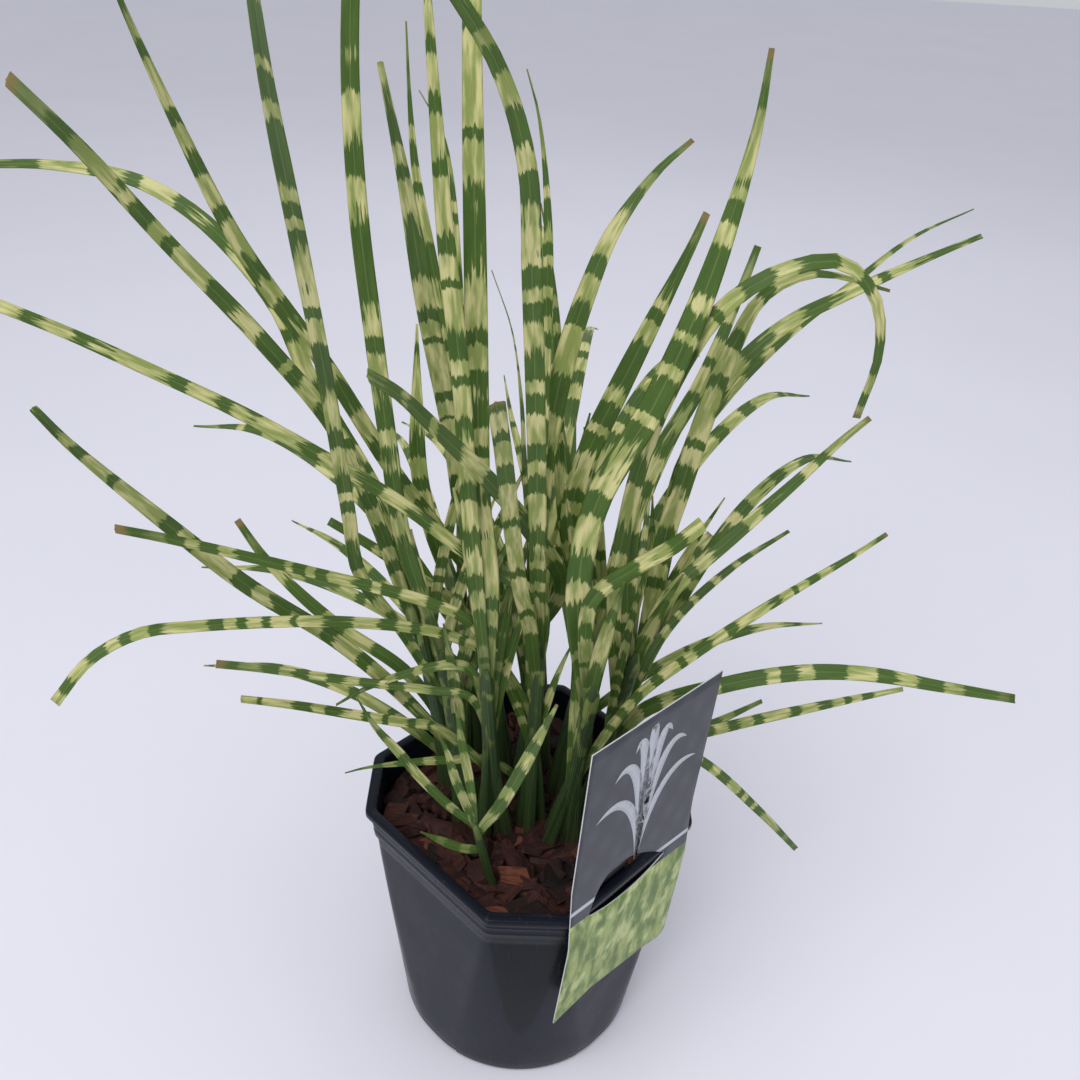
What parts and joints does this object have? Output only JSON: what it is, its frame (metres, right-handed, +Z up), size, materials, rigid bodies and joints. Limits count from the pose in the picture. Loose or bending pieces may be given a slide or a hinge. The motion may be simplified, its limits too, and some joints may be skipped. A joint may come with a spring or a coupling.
{
  "type": "potted ornamental grass",
  "caption": "Clump of tall arching grass blades with pale cross bands, in an octagonal black nursery pot with bark mulch and a plastic label hooked over the rim.",
  "frame": {"origin": "middle of the pot's flat underside, on the surface that it stands on", "axes": "+Z up; +Y away from the picture's viewer, square to one of the rim's short sides; +X to the viewer's right"},
  "size_m": [0.5286, 0.4121, 0.6218],
  "materials": {
    "pot": "near-black injection-moulded plastic with a soft sheen",
    "compost": "dark moist compost",
    "bark": "rough reddish-brown bark chips",
    "label": "printed plastic sheet, grey above and green below",
    "grass": "leaf green with cream-yellow cross bands, satin"
  },
  "bodies": {
    "root": {"pot": "pot", "compost": "compost", "bark_mulch": "bark", "label": "label", "shoot_a": "grass", "shoot_b": "grass", "shoot_c": "grass", "shoot_d": "grass", "shoot_e": "grass", "shoot_g": "grass", "shoot_h": "grass", "shoot_i": "grass", "shoot_j": "grass", "shoot_k": "grass", "shoot_l": "grass", "shoot_m": "grass", "shoot_n": "grass", "shoot_tiller": "grass"}
  },
  "joints": []
}
